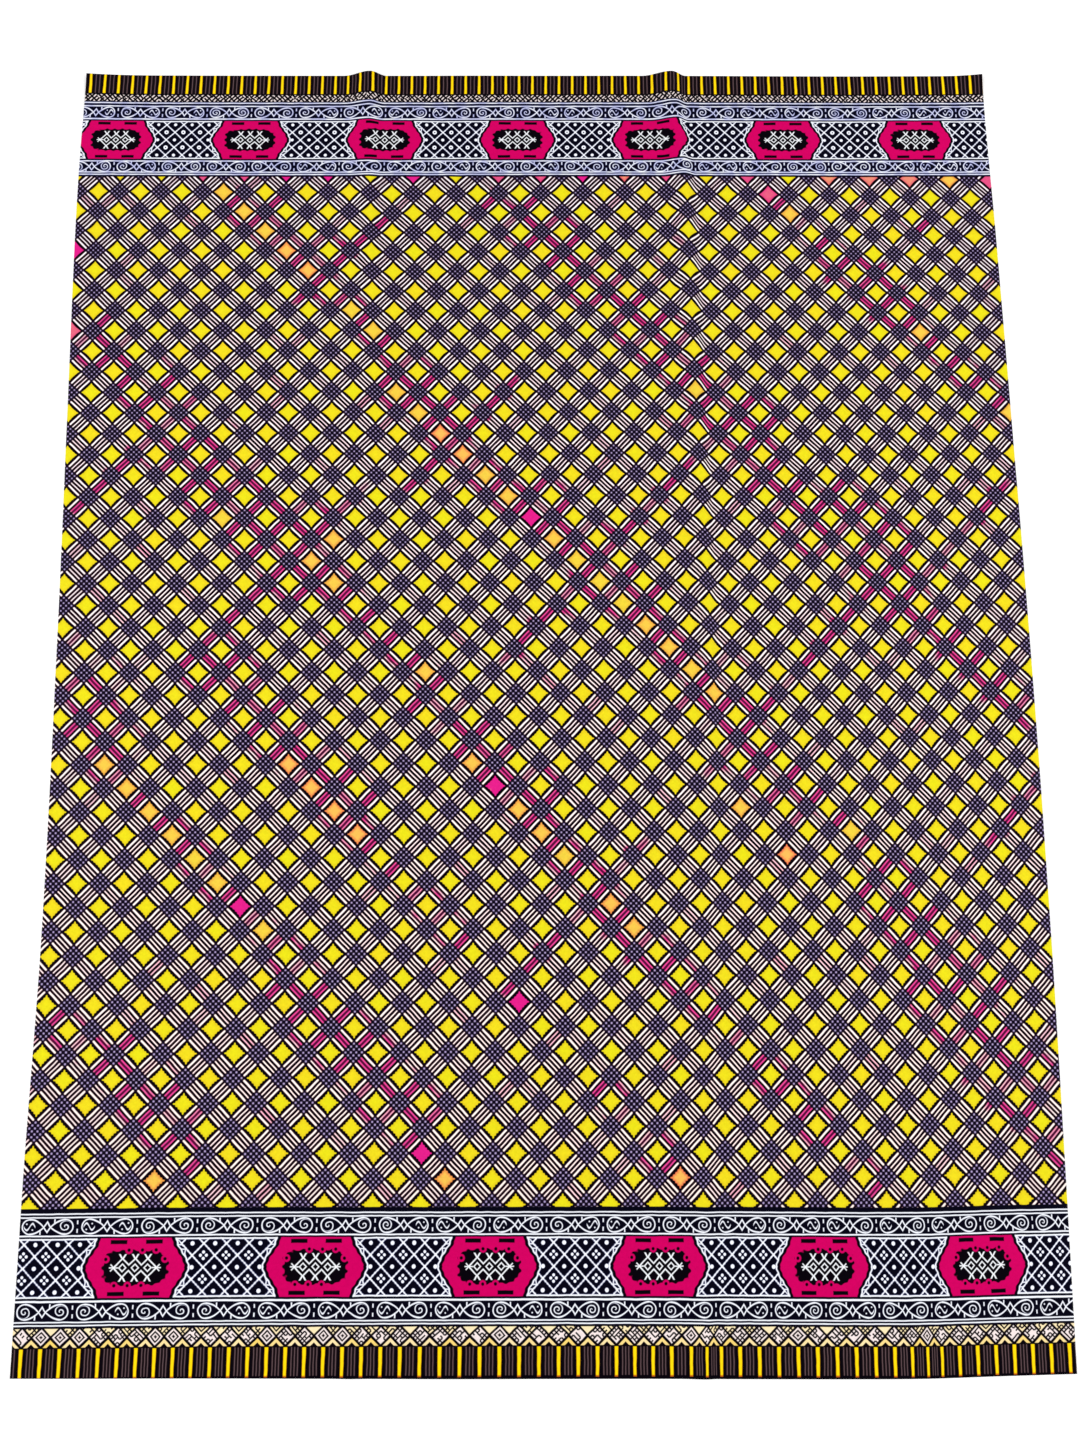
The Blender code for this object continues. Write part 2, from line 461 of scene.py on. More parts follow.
def border_rulers(across, up):
    """(stripes, mm from the selvedge, medallions) for the upper and the lower border."""
    x, y = place_on_table(across, up)
    upper_edge = place_on_table(across, 1.0)[1]
    lower_edge = place_on_table(across, 0.0)[1]
    belly = LOWER_BELLY * (1 - ((across - BELLY_MIDDLE) / BELLY_MIDDLE) ** 2)
    from_upper = (upper_edge - y) * 1000
    from_lower = (y - lower_edge) * 1000 - belly
    return (
        (number_at(UPPER_STRIPES, across), from_upper, number_at(UPPER_MEDALLIONS, across)),
        (number_at(LOWER_STRIPES, across), from_lower, number_at(LOWER_MEDALLIONS, across)),
    )


print("rulers at the middle", border_rulers(0.5, 0.5))

# %% [markdown]
# Real print cotton is about a third of a millimetre thick. The shell is the underside of the
# cloth, drawn as an open grid, with a Solidify modifier that gives it a second skin and a rim.
# Modelling both skins by hand would do the same with twice the code. Every point of the grid also
# keeps its place in the charts, as an attribute that the material reads back.

# %% The cloth itself
CLOTH_THICKNESS = 0.0005


def middle_of_outline():
    """The part's own origin is under this point."""
    places = [place_on_table(*share) for row in SHARES for share in row]
    xs = [x for x, _ in places]
    ys = [y for _, y in places]
    return Vector(((min(xs) + max(xs)) / 2, (min(ys) + max(ys)) / 2, 0.0))


def cloth_grid():
    """The cloth's underside, facing up."""
    shape = bmesh.new()
    columns, rows = len(SHARES[0]), len(SHARES)
    bmesh.ops.create_grid(shape, x_segments=columns - 1, y_segments=rows - 1, size=0.5)
    layers = shape.verts.layers.float_vector
    names = ("field_chart", "field_inks", "upper_chart", "lower_chart")
    charts = [layers.new(name) for name in names]
    bake_map = shape.loops.layers.uv.new("OFBake")
    for vert in shape.verts:
        column = round((vert.co.x + 0.5) * (columns - 1))
        row = round((vert.co.y + 0.5) * (rows - 1))
        across, up = SHARES[row][column]
        x, y = place_on_table(across, up)
        vert.co = Vector((x, y, rise(across, up))) - MIDDLE
        a, b = squares_at(across, up)
        upper, lower = border_rulers(across, up)
        for chart, numbers in zip(charts, ((a, b, 0.0), inks_at(a, b), upper, lower)):
            vert[chart] = Vector(numbers)
        for loop in vert.link_loops:
            loop[bake_map].uv = (across, up)
    mesh = bpy.data.meshes.new("wax_print_cloth")
    shape.to_mesh(mesh)
    shape.free()
    mesh.shade_smooth()
    return mesh


MIDDLE = middle_of_outline()
camera.location = CAMERA_PLACE - MIDDLE
cloth = add_object("wax_print_cloth", cloth_grid())
wall = cloth.modifiers.new("second skin", "SOLIDIFY")
wall.thickness = CLOTH_THICKNESS
wall.offset = 1.0
wall.use_even_offset = True
print("cloth grid points", len(cloth.data.vertices), "middle", MIDDLE)

# %% [markdown]
# The print is drawn by formulas. Blender's Math nodes can do that, but a formula with a hundred
# nodes can't be read. So a small class stands for "a number at every point of the cloth": plus,
# minus and times on it add the Math nodes, and the code reads like school algebra.

# %% Numbers at every point of the cloth
cotton = bpy.data.materials.new("wax_print_cotton")
cotton.use_nodes = True
NODES = cotton.node_tree.nodes
LINKS = cotton.node_tree.links
cloth.data.materials.append(cotton)
MIX_UNDER, MIX_OVER, MIX_RESULT = 6, 7, 2  # sockets of a Mix node that mixes colours


class Number:
    def __init__(self, socket):
        self.socket = socket

    def __add__(self, other):
        return maths("ADD", self, other)

    def __sub__(self, other):
        return maths("SUBTRACT", self, other)

    def __rsub__(self, other):
        return maths("SUBTRACT", other, self)

    def __mul__(self, other):
        return maths("MULTIPLY", self, other)

    def __truediv__(self, other):
        return maths("DIVIDE", self, other)

    def __neg__(self):
        return 0.0 - self

    def __abs__(self):
        return maths("ABSOLUTE", self)

    __radd__ = __add__
    __rmul__ = __mul__


def plug(value, socket):
    """Puts a Number, a plain number or a colour into a node's socket."""
    if isinstance(value, Number):
        LINKS.new(value.socket, socket)
    elif isinstance(value, bpy.types.NodeSocket):
        LINKS.new(value, socket)
    else:
        socket.default_value = value


def maths(operation, *values):
    node = NODES.new("ShaderNodeMath")
    node.operation = operation
    for value, socket in zip(values, node.inputs):
        plug(value, socket)
    return Number(node.outputs[0])


def larger(*values):
    """The largest of two or more."""
    return reduce(lambda first, second: maths("MAXIMUM", first, second), values)


def smaller(*values):
    """The smallest of two or more."""
    return reduce(lambda first, second: maths("MINIMUM", first, second), values)


def floored(value):
    return maths("FLOOR", value)


def rounded(value):
    return maths("ROUND", value)


def from_whole(value):
    """Distance to the nearest whole number."""
    return maths("PINGPONG", value, 0.5)


def reach(x, y):
    """Length of the way that goes x along and y up."""
    return maths("SQRT", maths("MULTIPLY_ADD", x, x, y * y))


def is_over(value, limit):
    return maths("GREATER_THAN", value, limit)


def either(switch, when_on, when_off):
    """One of two numbers, as a switch of 1 or 0 says."""
    return maths("MULTIPLY_ADD", switch, when_on - when_off, when_off)


def ramp(value, start, end):
    """0 up to start, 1 from end."""
    node = NODES.new("ShaderNodeMapRange")
    plug(value, node.inputs["Value"])
    plug(start, node.inputs["From Min"])
    plug(end, node.inputs["From Max"])
    return Number(node.outputs["Result"])


def inked(distance, softness):
    """1 inside a shape, where the distance to its edge is negative, and 0 outside."""
    return ramp(distance, softness, -softness)


def painted(under, over, share):
    """One colour over another, as far as share says."""
    node = NODES.new("ShaderNodeMix")
    node.data_type = "RGBA"
    plug(share, node.inputs[0])
    plug(under, node.inputs[MIX_UNDER])
    plug(over, node.inputs[MIX_OVER])
    return node.outputs[MIX_RESULT]


def layered(colour, *coats):
    """A colour with others painted over it in turn, each as (colour, share)."""
    for over, share in coats:
        colour = painted(colour, over, share)
    return colour


def chart(name):
    """The three numbers that the points of the cloth keep under this name."""
    kept = NODES.new("ShaderNodeAttribute")
    kept.attribute_name = name
    split = NODES.new("ShaderNodeSeparateXYZ")
    LINKS.new(kept.outputs["Vector"], split.inputs[0])
    return [Number(output) for output in split.outputs]


def chance(x, y, seed):
    """A number from 0 to 1 that is the same all over a square."""
    joined = NODES.new("ShaderNodeCombineXYZ")
    plug(x, joined.inputs[0])
    plug(y, joined.inputs[1])
    plug(seed, joined.inputs[2])
    node = NODES.new("ShaderNodeTexWhiteNoise")
    node.noise_dimensions = "3D"
    LINKS.new(joined.outputs[0], node.inputs["Vector"])
    return Number(node.outputs["Value"])


def cloudy(scale, detail):
    """Soft noise over the cloth: a number near 0.5, and a colour of three such numbers."""
    node = NODES.new("ShaderNodeTexNoise")
    plug(scale, node.inputs["Scale"])
    plug(detail, node.inputs["Detail"])
    plug(on_cloth.outputs["Object"], node.inputs["Vector"])
    return node


on_cloth = NODES.new("ShaderNodeTexCoord")
print("formula helpers ready")

# %% [markdown]
# Wax print has few inks: indigo that is nearly black, a strong yellow, a pink that turns orange
# where it falls on yellow, and the bare cotton. The values are written as on a paint chart, from 0
# to 255, and turned into the light they send back.

# %% Inks
PAPER_SHARE = 0.87  # of the light, for the whitest bare cotton


def ink(red, green, blue):
    def linear(value):
        part = value / 255
        return part / 12.92 if part <= 0.04045 else ((part + 0.055) / 1.055) ** 2.4

    return (*(PAPER_SHARE * linear(value) for value in (red, green, blue)), 1.0)


BARE_COTTON = ink(252, 250, 253)
CREAM_COTTON = ink(254, 246, 236)
PALE_PINK = ink(248, 196, 226)
INDIGO_BLACK = ink(5, 1, 8)
CROSSING_INDIGO = ink(14, 4, 25)
DOT_LAVENDER = ink(168, 150, 196)
YELLOW = ink(229, 221, 24)
WARM_YELLOW = ink(240, 210, 34)
ORANGE = ink(243, 182, 88)
FRINGE_ORANGE = ink(205, 120, 25)
FRINGE_RED = ink(228, 84, 74)
MAGENTA = ink(222, 30, 134)
RIBBON_PINK = ink(240, 54, 152)
DARK_MAGENTA = ink(90, 2, 58)
BLEED_ROSE = ink(150, 80, 100)
MEDALLION_PINK = ink(206, 0, 94)
BORDER_NAVY = ink(4, 3, 18)
LINE_BLUE = ink(56, 60, 122)
LAVENDER_WHITE = ink(204, 208, 240)
BORDER_WHITE = ink(248, 251, 255)
STRIPE_YELLOW = ink(252, 220, 12)
STRIPE_EDGE = ink(206, 130, 0)
HEM_BROWN = ink(196, 96, 16)
STRIPE_BROWN = ink(18, 10, 15)
THIN_MAUVE = ink(108, 84, 88)
NET_ROSE = ink(243, 228, 226)
NET_CREAM = ink(250, 230, 184)
NET_YELLOW = ink(248, 212, 110)
print("bare cotton", [round(value, 3) for value in BARE_COTTON])

# %% [markdown]
# Wax is brushed and rolled on warm, so no line of it is quite straight. The charts are shifted by
# a little noise before anything is drawn with them, and every line then wavers by a few tenths of
# a millimetre, as it does on the real cloth.

# %% A hand that wavers
WAVER_SCALE = 95.0
WAVER_MM = 1.5
FIELD_WAVER = 0.55
BORDER_WAVER = 0.5
SQUARE_MM = 29.3
waver_noise = cloudy(WAVER_SCALE, 1.5)
waver_split = NODES.new("ShaderNodeSeparateColor")
LINKS.new(waver_noise.outputs["Color"], waver_split.inputs[0])
waver_x, waver_y = ((Number(output) - 0.5) * WAVER_MM for output in waver_split.outputs[:2])
print("waver, mm", WAVER_MM)

# %% [markdown]
# The field repeats one square: a yellow diamond, four ribbons of stripes round it and dotted
# crossings at its corners. Folding the chart with "distance to the nearest whole number" puts
# every square on top of the others, so the square is drawn once, and only a quarter of it.

# %% Squares of the field
FIELD_SOFT = 0.009
a_raw, b_raw, _ = chart("field_chart")
pink_amount, orange_share, magenta_share = chart("field_inks")
upper_chart = chart("upper_chart")
lower_chart = chart("lower_chart")
a_place = a_raw + waver_x * (FIELD_WAVER / SQUARE_MM)
b_place = b_raw + waver_y * (FIELD_WAVER / SQUARE_MM)
near_a = from_whole(a_place)
near_b = from_whole(b_place)
downward = ramp(lower_chart[1], 1050, 130)  # wax edges and dots grow coarser towards the lower end

DIAMOND_HALF = 0.202
DIAMOND_FLARE = 0.36
DIAMOND_SHRINK = 0.009  # at the lower end, as are the two swells
STRIPE_SWELL = 0.0035
DOT_SWELL = 0.006
TOOTH_PITCH = 0.098
TOOTH_DEPTH = 0.011


def diamond_side(along):
    """How far the diamond reaches beside a place along its edge."""
    teeth = maths("COSINE", along * (2 * math.pi / TOOTH_PITCH)) * downward * TOOTH_DEPTH
    plain_side = DIAMOND_HALF - downward * DIAMOND_SHRINK
    return maths("MULTIPLY_ADD", along * along, DIAMOND_FLARE, plain_side) + teeth


diamond = larger(near_a - diamond_side(near_b), near_b - diamond_side(near_a))

Stripe = namedtuple("Stripe", "place half_width half_length")
OUTER_STRIPE = Stripe(0.323, 0.0262, 0.238)
INNER_STRIPE = Stripe(0.444, 0.0160, 0.236)


def stripe(across, along, sizes):
    """Distance to a stripe with round ends."""
    past_end = larger(along - (sizes.half_length - sizes.half_width), 0.0)
    return reach(across - sizes.place, past_end) - sizes.half_width - downward * STRIPE_SWELL


outer_stripes = smaller(stripe(near_a, near_b, OUTER_STRIPE), stripe(near_b, near_a, OUTER_STRIPE))
inner_stripes = smaller(stripe(near_a, near_b, INNER_STRIPE), stripe(near_b, near_a, INNER_STRIPE))

DOT_PITCH = 0.117
DOT_RADIUS = 0.023
THREAD_HALF = 0.010
THREAD_SHARE = 0.07
CROSSING_HALF = 0.262
crossing = (0.5 - CROSSING_HALF) - smaller(near_a, near_b)
dot_a = from_whole((0.5 - near_a) / DOT_PITCH + 0.5) * DOT_PITCH
dot_b = from_whole((0.5 - near_b) / DOT_PITCH + 0.5) * DOT_PITCH
in_crossing = inked(crossing, FIELD_SOFT)
dots = reach(dot_a, dot_b) - downward * DOT_SWELL - DOT_RADIUS
dots = inked(dots, FIELD_SOFT) * in_crossing
threads = inked(smaller(dot_a, dot_b) - THREAD_HALF, FIELD_SOFT) * in_crossing * THREAD_SHARE
print("field drawn with", len(NODES), "nodes so far")

# %% [markdown]
# Along the chains the two inner stripes of a ribbon take the pink, and a darker pink fills the gap
# between them, while the outer stripes stay white. Each ribbon has a random number of its own,
# worked out from its place in the chart, so that some take more of the colour than others.

# %% Pink over the field
RIBBON_LUCK = 0.75  # how much of a ribbon's pink is chance
RIBBON_GAP_HALF = 0.085
RIBBON_HALF_LENGTH = 0.225
BLEED_REACH = 0.005
STRIPE_TRIM = 0.003
round_a, round_b = rounded(a_place), rounded(b_place)
chance_a = chance(floored(a_place), round_b, 1.0)
chance_b = chance(round_a, floored(b_place), 2.0)
chance_ribbon = either(is_over(near_a, near_b), chance_a, chance_b)
chance_square = chance(round_a, round_b, 3.0)
pink_ribbon = ramp(pink_amount + (chance_ribbon - 0.54) * RIBBON_LUCK, 0.44, 0.84)
stray_pink = ramp(chance_ribbon, 0.90, 1.0) * 0.45
between = inked(abs(larger(near_a, near_b) - 0.5) - RIBBON_GAP_HALF, FIELD_SOFT)
beside = inked(smaller(near_a, near_b) - RIBBON_HALF_LENGTH, FIELD_SOFT)

orange = orange_share * ramp(chance_square, -0.6, 0.5)
fringe = ramp(diamond, -0.09, 0.0) * larger(orange * 0.85, 0.22)
fringe_colour = painted(FRINGE_ORANGE, FRINGE_RED, orange)
diamond_colour = layered(
    painted(YELLOW, WARM_YELLOW, chance_square * 0.55),
    (ORANGE, orange),
    (fringe_colour, fringe),
    (MAGENTA, magenta_share),
)
stripe_cotton = painted(BARE_COTTON, CREAM_COTTON, downward)
inner_colour = layered(
    stripe_cotton,
    (PALE_PINK, chance_ribbon * 0.25),
    (RIBBON_PINK, larger(pink_ribbon, stray_pink)),
)
bleed = smaller(outer_stripes, inner_stripes) - BLEED_REACH
field_colour = layered(
    INDIGO_BLACK,
    (CROSSING_INDIGO, in_crossing),
    (DOT_LAVENDER, larger(dots, threads)),
    (DARK_MAGENTA, pink_ribbon * between * beside),
    (BLEED_ROSE, inked(bleed, FIELD_SOFT)),
    (stripe_cotton, inked(outer_stripes + STRIPE_TRIM, FIELD_SOFT)),
    (inner_colour, inked(inner_stripes + STRIPE_TRIM, FIELD_SOFT)),
    (diamond_colour, inked(diamond, FIELD_SOFT)),
)
print("nodes", len(NODES))

# %% [markdown]
# Both borders have the same bands, in the same order from the selvedge inward, and the lower one
# is a fifth taller. So one set of functions draws them, and a table gives each border its sizes
# in millimetres.

# %% Sizes of the borders
Size = namedtuple("Size", "name upper lower")
SIZES = rows_of(
    Size,
    ("stripe_pitch", 13.6, 15.9), ("hem", -9.0, 0.3), ("stripes_end", 20.0, 22.6),
    ("net_start", 21.6, 23.9), ("net_end", 28.6, 38.6),
    ("outer_pair", 32.25, 42.55), ("outer_gap", 1.75, 1.3), ("outer_scroll", 40.95, 52.1),
    ("outer_line", 47.9, 60.3), ("outer_weight", 0.60, 0.75),
    ("medallions", 70.7, 86.9), ("half_height", 20.6, 24.0), ("medallion_pitch", 132.0, 148.0),
    ("inner_line", 93.7, 113.0), ("inner_scroll", 99.65, 120.6),
    ("inner_pair", 106.8, 129.5), ("inner_gap", 1.2, 1.4), ("field", 110.6, 135.3),
    ("stroke", 0.42, 0.47), ("bleed", 0.45, 0.12),
    # A share of the stripe pitch
    ("thin_pitch", 0.27, 0.17),
)
Border = namedtuple("Border", [size.name for size in SIZES])
UPPER_BORDER = Border(*(size.upper for size in SIZES))
LOWER_BORDER = Border(*(size.lower for size in SIZES))
SOFT_MM = 0.26


def line_at(place, centre, half_width):
    return abs(place - centre) - half_width


def on_diagonals(distance):
    """Turns a distance in rising or falling counts into one straight across the line."""
    return distance * math.sqrt(0.5)


print("borders", UPPER_BORDER.field, LOWER_BORDER.field, "mm wide")

# %% [markdown]
# Next to each selvedge stand upright stripes: a yellow one, then thin mauve ones on brown. Inside
# them lies a net: leaning dashes in the upper border, and in the lower one bold black lines, so
# that a diamond stands over each yellow stripe, a roof between two of them, and an upturned
# triangle over the roof. No two diamonds of the print are alike. Drawing each would take a long
# table, so chance opens the walls of a small maze in most of them.

# %% Stripes and net
FAR = 9.0  # a distance that switches a shape off
STRIPE_HALF = 0.086  # these six are shares of the stripe pitch
STRIPE_FLARE = 0.016
THIN_SPAN = 0.235
BROWN_SPAN = 0.25
ROOF_LINE = 0.215
ROOF_LINE_HALF = 0.10
THIN_HALF = 0.32
HEM_MARGIN = 1.2
NET_WAVER = 0.06
DASH_LINES = 3.1  # these five are counts to a stripe pitch
DASH_ENDS = 1.9
DASH_CELLS_ACROSS = 1.8
DASH_CELLS_UP = 4.0
MAZE_CELLS = 4.0
DASH_GAP = 1.02
BOLD_HALF = 0.95
SMALL_HALF = 0.66
NESTED_BELOW = 0.16  # these three are limits of the chance numbers
OPEN_ABOVE = 0.62
SOLID_ABOVE = 0.86


def selvedge_stripes(stripes, place, sizes):
    pitch = sizes.stripe_pitch
    aside = from_whole(stripes)
    flare = STRIPE_FLARE * pitch / sizes.stripes_end
    half_width = maths("MULTIPLY_ADD", place, flare, STRIPE_HALF * pitch)
    yellow = inked(larger(aside * pitch - half_width, sizes.hem - HEM_MARGIN - place), SOFT_MM)
    edge = ramp(aside * pitch - half_width, -0.6, 0.1)
    shift = 0.5 if sizes.hem < 0 else 0.0
    middle = 0.5 - aside
    thin = from_whole(middle / sizes.thin_pitch + shift) * (sizes.thin_pitch * pitch) - THIN_HALF
    thin = inked(larger(thin, (middle - THIN_SPAN) * pitch), SOFT_MM * 1.3)
    beyond_hem = place - sizes.hem
    ground = layered(
        INDIGO_BLACK,
        (STRIPE_BROWN, inked((middle - BROWN_SPAN) * pitch, SOFT_MM * 2)),
        (THIN_MAUVE, thin),
        (INDIGO_BLACK, inked(beyond_hem, SOFT_MM)),
    )
    stripe_colour = painted(STRIPE_YELLOW, STRIPE_EDGE, edge)
    stripe_colour = painted(stripe_colour, HEM_BROWN, inked(beyond_hem, SOFT_MM * 2))
    return painted(ground, stripe_colour, yellow)


def fine_net(stripes, place, sizes):
    """The upper border's net: short uneven dashes that slant both ways."""
    upright = (place - sizes.net_start) / sizes.stripe_pitch
    rising = stripes + upright + waver_y * NET_WAVER
    falling = stripes - upright + waver_x * NET_WAVER
    cell = floored(stripes * DASH_CELLS_ACROSS), floored(upright * DASH_CELLS_UP)
    lean = is_over(chance(*cell, 5.0), 0.5)
    beside = from_whole(either(lean, rising, falling) * DASH_LINES) / DASH_LINES
    past_end = from_whole(either(lean, falling, rising) * DASH_ENDS) / DASH_ENDS + 0.01
    gap = on_diagonals(smaller(beside, past_end) * sizes.stripe_pitch) - DASH_GAP
    return painted(NET_ROSE, INDIGO_BLACK, inked(gap, SOFT_MM))


def bold_net(stripes, place, sizes):
    """The lower border's net: diamonds between bold lines, and a roof between two of them."""
    pitch = sizes.stripe_pitch
    height = (place - sizes.net_start) / pitch
    rising = stripes + height - 0.5 + waver_y * NET_WAVER
    falling = stripes - height + 0.5 + waver_x * NET_WAVER
    middle_r, middle_f = rounded(rising), rounded(falling)
    pick = chance(middle_r, middle_f, 4.0)
    from_middle = larger(from_whole(rising), from_whole(falling))
    bold = on_diagonals(0.5 - from_middle) * pitch - BOLD_HALF
    nested = smaller(from_whole(from_middle * MAZE_CELLS) / MAZE_CELLS, from_middle * 0.6)
    cells_r, cells_f = rising * MAZE_CELLS, falling * MAZE_CELLS
    open_r = is_over(chance(rounded(cells_r), floored(cells_f), 6.0), OPEN_ABOVE)
    open_f = is_over(chance(floored(cells_r), rounded(cells_f), 7.0), OPEN_ABOVE)
    wall_r = maths("MULTIPLY_ADD", open_r, FAR, from_whole(cells_r) / MAZE_CELLS)
    wall_f = maths("MULTIPLY_ADD", open_f, FAR, from_whole(cells_f) / MAZE_CELLS)
    small = either(is_over(NESTED_BELOW, pick), nested, smaller(wall_r, wall_f))
    small = on_diagonals(small) * pitch - SMALL_HALF
    over_roof = is_over(middle_r - middle_f, 0.5)
    solid = over_roof * is_over(pick, SOLID_ABOVE)
    black = smaller(bold, maths("MULTIPLY_ADD", solid, FAR, small))
    cream = painted(NET_ROSE, NET_CREAM, over_roof)
    colour = painted(cream, INDIGO_BLACK, inked(black, SOFT_MM))
    roof = from_whole(stripes) - height
    roof_colour = painted(NET_YELLOW, NET_CREAM, pick * 0.8)
    in_line = inked(line_at(roof, ROOF_LINE, ROOF_LINE_HALF), 0.02)
    roof_colour = painted(INDIGO_BLACK, roof_colour, in_line)
    return painted(colour, roof_colour, is_over(roof, 0.05))


print("lines of dashes to a stripe", DASH_LINES)

# %% [markdown]
# The scroll bands hold a belt in the shape of an eight, with a small diamond where it crosses, a
# tick on one side and a pair of dashes before the next belt. In each loop is a curl, or a wave with
# two dots. Turned half round, the belt looks the same, so the right half is drawn and the left half
# borrows it. Chance picks what a loop holds and turns some belts over, so that none look stamped.

# %% Scrolls
SCROLLS_TO_A_MEDALLION = 3
LOOP_RADIUS = 0.122  # these three are shares of a belt's length
LOOP_AT = 0.302
KNOT = 0.056
CURL_REACH = 0.76  # these seven are shares of a loop's radius
CURL_EYE = 0.10
WAVE_HEIGHT = 0.44
WAVE_REACH = 0.72
HOLLOW = 0.40
PAIR_DASH = 0.58
PAIR_DASH_HALF = 0.25
WAVE_ABOVE = 0.55  # limit of the chance number


def scrolls(medallions, place, sizes, centre):
    """Distance in mm to the white lines of a scroll band."""
    length = sizes.medallion_pitch / SCROLLS_TO_A_MEDALLION
    radius, loop_at, knot = length * LOOP_RADIUS, length * LOOP_AT, length * KNOT
    steps = medallions * SCROLLS_TO_A_MEDALLION
    along = (maths("FLOORED_MODULO", steps, 1.0) - 0.5) * length + waver_y * 0.7
    pick = chance(floored(steps), centre, 8.0)
    upside = either(is_over(pick, 0.5), 1.0, -1.0) * maths("SIGN", along)
    x, y = abs(along), (place - centre + waver_x * 0.5) * upside
    side = abs(y)
    rest = maths("MULTIPLY_ADD", x, -1 / (loop_at - knot), loop_at / (loop_at - knot))
    strand = abs(side - maths("MULTIPLY_ADD", rest * rest, -radius, radius)) * 0.78
    strand = larger(strand, knot - x)
    loop_x = x - loop_at
    from_centre = reach(loop_x, y)
    belt = either(is_over(x, loop_at), abs(from_centre - radius), strand)
    diamond_ring = abs(x / knot + side / (knot * 1.5) - 1.0) * (knot * 0.83)
    tick = larger(abs(x - radius), abs(y - radius * 0.72) - radius * 0.26)
    turn = maths("FLOORED_MODULO", maths("ARCTAN2", loop_x, -y) / (2 * math.pi), 1.0)
    spacing = maths("MULTIPLY_ADD", pick, radius * 0.16, radius * 0.48)
    turns = (radius - from_centre) / spacing - turn * turn
    past_curl = larger(from_centre - radius * CURL_REACH, radius * CURL_EYE - from_centre)
    curl = larger(from_whole(turns) * spacing, past_curl)
    swing = maths("SINE", loop_x * (4.0 / radius)) * (radius * WAVE_HEIGHT)
    wave = larger(abs(y - swing) * 0.6, from_centre - radius * WAVE_REACH)
    for hollow in (-radius * HOLLOW, radius * HOLLOW):
        wave = smaller(wave, reach(loop_x - hollow, y + hollow) - radius * 0.03)
    has_wave = is_over(chance(floored(steps * 2.0), centre, 9.0), WAVE_ABOVE)
    inside = either(has_wave, wave, curl) + sizes.stroke * 0.2
    lines = smaller(belt, diamond_ring, tick, inside) - sizes.stroke
    to_gap = from_whole(steps) * length
    past_dash = line_at(side, radius * PAIR_DASH, radius * PAIR_DASH_HALF)
    dashes = larger(to_gap - sizes.stroke, past_dash)
    return smaller(lines, dashes)


print("scrolls to a medallion", SCROLLS_TO_A_MEDALLION)

# %% [markdown]
# Between the scroll bands, pink medallions stand on a lattice of white diamonds. The medallion is
# a plate with waving sides and a ragged dark window, and in the window is a chain of three small
# diamonds. All of it is measured in lattice diamonds, eight of them to a medallion's pitch.

# %% Plate and lattice
LATTICE_TO_A_MEDALLION = 8
BAND_HALF = 1.25  # half the band's height, in lattice diamonds
PLATE_MIDDLE = 1.88  # half the plate's width, half-way up its side
PLATE_SWING = 0.285
FRAME_WIDTH = 0.165
LADDER_BOW = 0.21
RUNG_PITCH = 0.19
KNOT_RADIUS = 0.085
BLOT_RADIUS = 0.125
PETAL_RADIUS = 0.088
CELL_SOFT = 0.016


def plate_edge(x, y):
    """Distance beyond the plate's waving side."""
    swing = maths("COSINE", y * (math.pi / BAND_HALF)) * PLATE_SWING
    wobble = maths("SINE", y * 19.0) * 0.02
    return (x - PLATE_MIDDLE - swing - wobble) * 0.87


def lattice(across, up, y, stroke, flowers):
    """White lines that cross, with a blot or a flower in each diamond."""
    rising, falling = from_whole(across + up), from_whole(across - up)
    beads = maths("COSINE", (across - up) * 31.0) + maths("COSINE", (across + up) * 27.0)
    half_width = maths("MULTIPLY_ADD", beads, stroke * 0.22, stroke * 1.05)
    lines = on_diagonals(smaller(rising, falling)) - half_width
    knots = reach(rising, falling) - KNOT_RADIUS
    heart_r, heart_f = 0.5 - rising, 0.5 - falling
    blot = reach(heart_r, heart_f) - BLOT_RADIUS
    in_odd_row = abs(y - 0.5) - 0.25
    if flowers:
        flower = reach(heart_r - 0.13, heart_f - 0.13) - PETAL_RADIUS
    else:
        flower = abs(reach(heart_r, heart_f) - 0.12) - 0.055
    return smaller(lines, knots, larger(flower, in_odd_row), larger(blot, -in_odd_row))


def frame_and_lattice(across, up, y, plate, stroke, flowers):
    """The lattice, its rims, and the ladders that join it to the plate's white frame."""
    beyond_frame = plate - FRAME_WIDTH
    bow = larger(LADDER_BOW - abs(y - 0.84) * 0.5, 0.0)
    past_ladder = beyond_frame - bow
    rungs = from_whole(up / RUNG_PITCH) * RUNG_PITCH - stroke * 0.8
    rungs = larger(rungs, -beyond_frame)
    rims = smaller(abs(beyond_frame), abs(y - BAND_HALF + 0.035)) - stroke * 1.25
    ladder = larger(abs(past_ladder) - stroke * 0.8, 0.35 - y)
    ladder = smaller(ladder, larger(rungs, past_ladder))
    drawn = larger(lattice(across, up, y, stroke, flowers), -past_ladder)
    return larger(smaller(drawn, rims, ladder), -beyond_frame - stroke)


print("lattice diamonds to a medallion", LATTICE_TO_A_MEDALLION)

# %% [markdown]
# The window's rim is ragged, and where a dot sits on it a ring of pink is left round the dot. Its
# upper dots are shifted to the right and its lower ones to the left, as a hand would not measure
# them. The chain is a zigzag above and its mirror image below, with forks on the peaks.

